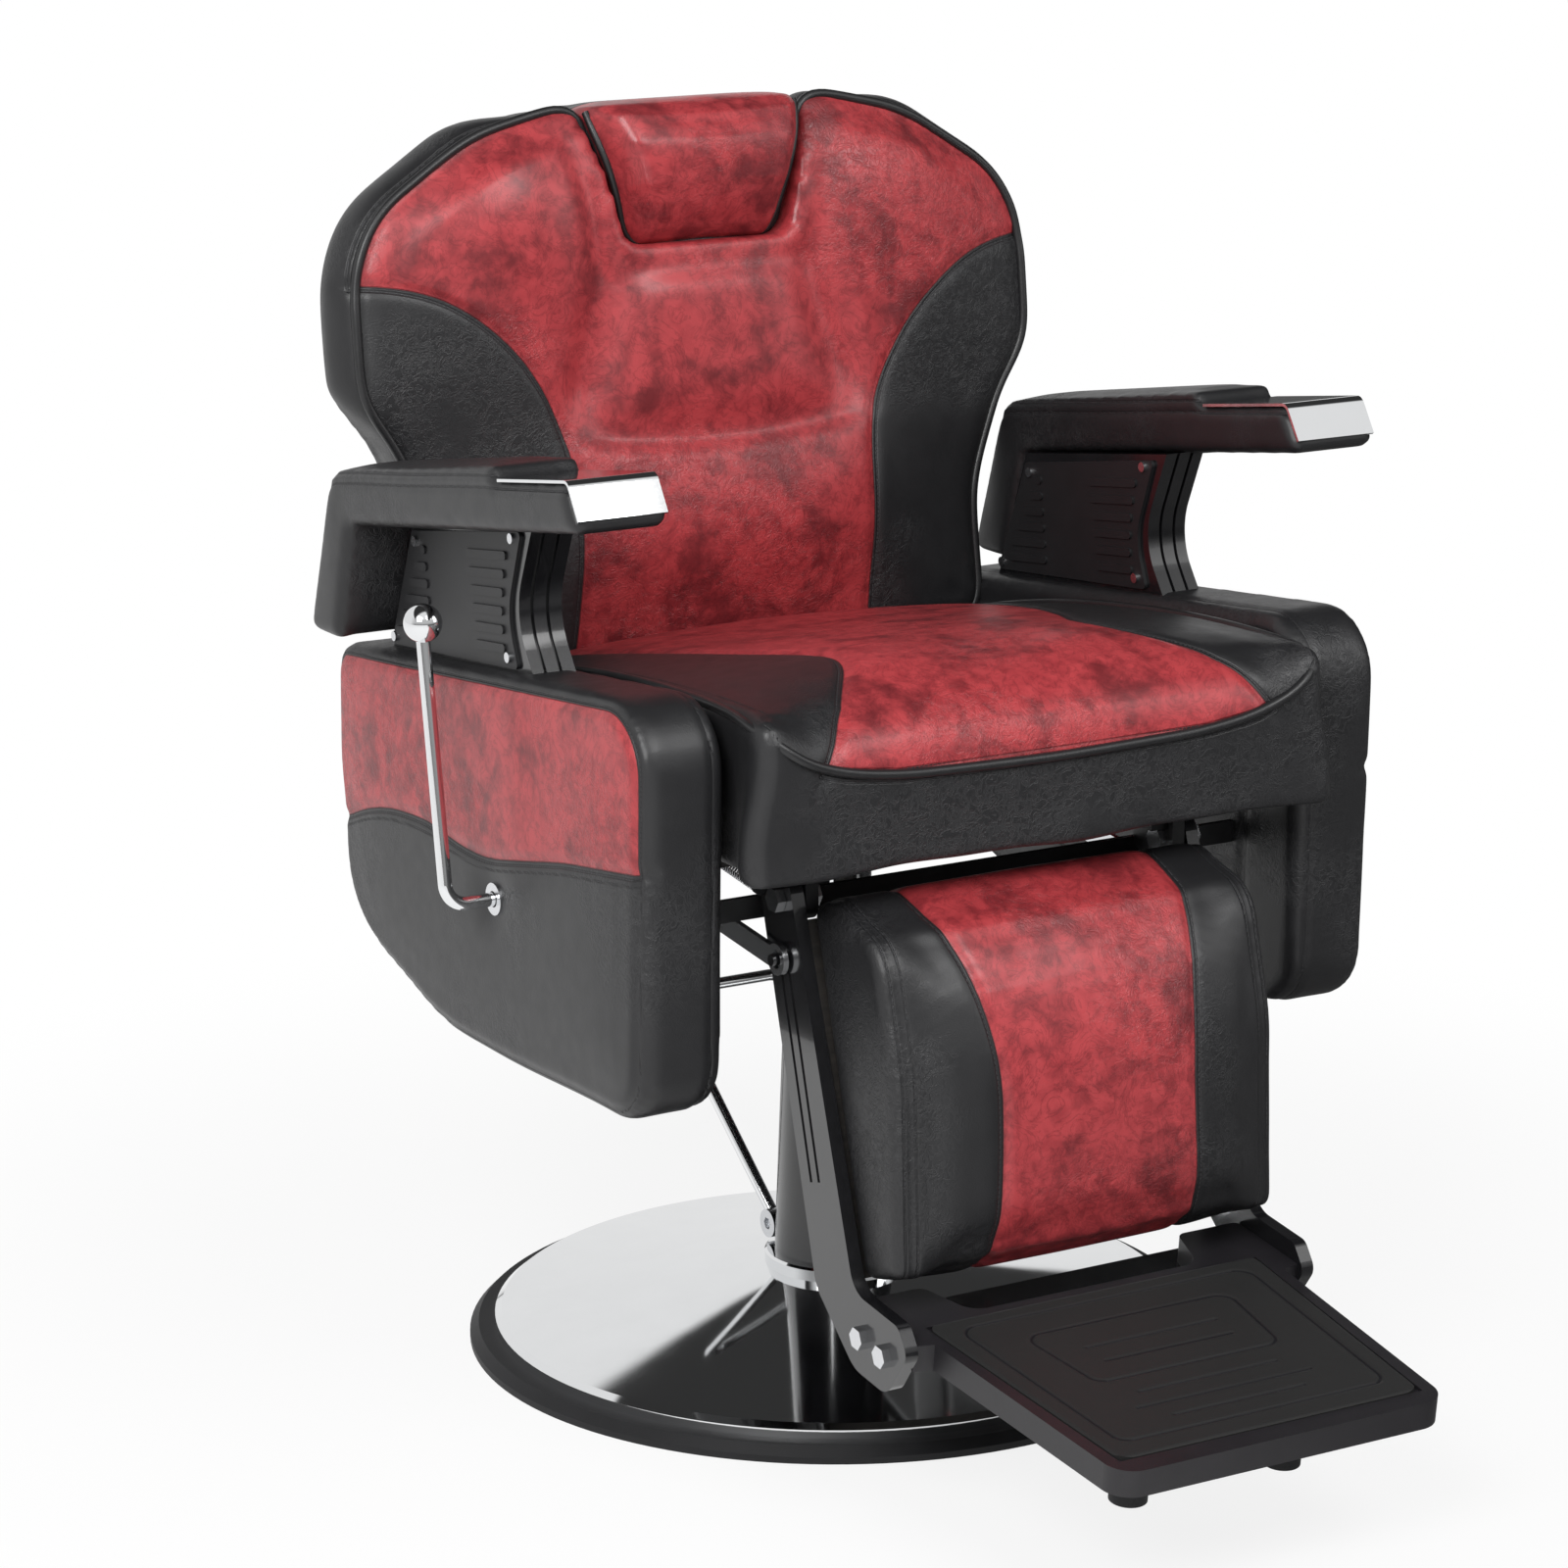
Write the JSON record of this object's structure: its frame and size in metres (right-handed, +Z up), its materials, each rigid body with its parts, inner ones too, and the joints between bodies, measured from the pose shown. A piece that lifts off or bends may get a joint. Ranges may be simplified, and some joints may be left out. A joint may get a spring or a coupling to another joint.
{
  "type": "hydraulic barber chair",
  "caption": "Hydraulic reclining barber chair with swivel seat, padded armrests, sliding headrest, linked leg rest with footplate, pump pedal and round polished base",
  "frame": {"origin": "where the column's axis meets the floor", "axes": "+Z up along the column, -Y towards the sitter's feet, +X to the sitter's left"},
  "size_m": [0.8145, 1.0446, 1.1024],
  "materials": {
    "cast_base": "as cast, painted dark",
    "black_rim": "satin black",
    "mirror_chrome": "mirror polished",
    "satin_black": "satin black paint",
    "gloss_black": "gloss black paint",
    "gloss_moulding": "gloss black",
    "satin_moulding": "satin black",
    "black_casting": "satin black coat",
    "tread_rubber": "fine matt",
    "gland_brass": "machined",
    "zinc": "zinc plated",
    "plywood": "stained",
    "red_black_vinyl": "semi-gloss marbled vinyl over foam",
    "black_vinyl": "satin grained vinyl over foam"
  },
  "bodies": {
    "base": {"base_plate": "cast_base", "base_ring": "black_rim", "base_dome": "mirror_chrome", "pump_barrel": "satin_black", "ram_gland": "gland_brass", "cover_collar": "mirror_chrome", "pump_cover": "gloss_black"},
    "pump_pedal": {"pedal_shaft": "zinc", "pedal_clamps": "zinc", "pedal_rod": "mirror_chrome"},
    "lift": {"lift_ram": "mirror_chrome"},
    "seat": {"swivel_socket": "satin_black", "seat_mount_plate": "satin_black", "seat_rail_left": "satin_black", "seat_rail_right": "satin_black", "rear_outriggers": "satin_black", "front_cross_bar": "satin_black", "leg_hinge_plates": "satin_black", "leg_pivot_bolts": "zinc", "back_hinge_plates": "satin_black", "back_pivot_bolts": "zinc", "spring_anchors": "zinc", "seat_board": "plywood", "seat_cushion": "red_black_vinyl", "side_panel_left": "red_black_vinyl", "side_panel_right": "red_black_vinyl", "arm_frame_left": "gloss_moulding", "arm_frame_right": "gloss_moulding", "arm_covers_left": "satin_moulding", "arm_covers_right": "satin_moulding", "cover_screws": "zinc", "armrest_pad_left": "black_vinyl", "armrest_pad_right": "black_vinyl", "armrest_cap_left": "mirror_chrome", "armrest_cap_right": "mirror_chrome", "lever_escutcheon": "zinc", "lever_bracket": "satin_black", "leg_spring_left": "zinc", "leg_spring_right": "zinc"},
    "recline_lever": {"lever_rod": "mirror_chrome", "lever_knob": "mirror_chrome", "release_cam": "zinc"},
    "backrest": {"backrest_cushion": "red_black_vinyl", "backrest_board": "plywood", "back_upright_left": "satin_black", "back_upright_right": "satin_black", "headrest_guide": "satin_black"},
    "headrest": {"headrest_pad": "red_black_vinyl", "headrest_stem": "satin_black"},
    "recline_links": {"link_bar_left": "zinc", "link_bar_right": "zinc"},
    "leg_rest": {"leg_arm_left": "gloss_black", "leg_arm_right": "gloss_black", "calf_board": "plywood", "calf_pad": "red_black_vinyl", "footplate": "black_casting", "footplate_mat": "tread_rubber", "footplate_bolts": "zinc", "leg_cross_plate": "gloss_black", "footplate_bumpers": "black_rim"}
  },
  "joints": [
    {"name": "pedal_swing", "type": "hinge", "parent": "base", "child": "pump_pedal", "pos_m": [0, 0.046, 0.092], "axis": [1, 0, 0], "range_deg": [-30, 0], "stiffness_Nm_per_rad": 3, "springref_deg": 20.05},
    {"name": "lift_slide", "type": "slide", "parent": "base", "child": "lift", "axis": [0, 0, 1], "range_m": [0, 0.15]},
    {"name": "seat_swivel", "type": "hinge", "parent": "lift", "child": "seat", "pos_m": [0, 0, 0.47], "axis": [0, 0, 1], "continuous": true},
    {"name": "lever_pull", "type": "hinge", "parent": "seat", "child": "recline_lever", "pos_m": [-0.3, -0.05, 0.467], "axis": [1, 0, 0], "range_deg": [-25, 0], "stiffness_Nm_per_rad": 2, "springref_deg": 11.46},
    {"name": "back_recline", "type": "hinge", "parent": "seat", "child": "backrest", "pos_m": [0, 0.222, 0.512], "axis": [1, 0, 0], "range_deg": [-60, 0]},
    {"name": "headrest_slide", "type": "slide", "parent": "backrest", "child": "headrest", "axis": [0, 0.1045, 0.9945], "range_m": [0, 0.1]},
    {"name": "link_swing", "type": "hinge", "parent": "backrest", "child": "recline_links", "pos_m": [0, 0.2325, 0.49381], "axis": [1, 0, 0], "range_deg": [0, 60]},
    {"name": "leg_swing", "type": "hinge", "parent": "seat", "child": "leg_rest", "pos_m": [0, -0.253, 0.492], "axis": [1, 0, 0], "range_deg": [-25, 0], "deforming": ["leg_spring_left", "leg_spring_right"]}
  ],
  "couplings": [
    {"joint": "link_swing", "follows": "back_recline", "ratio": -0.98772},
    {"joint": "leg_swing", "follows": "back_recline", "ratio": 0.41667}
  ]
}
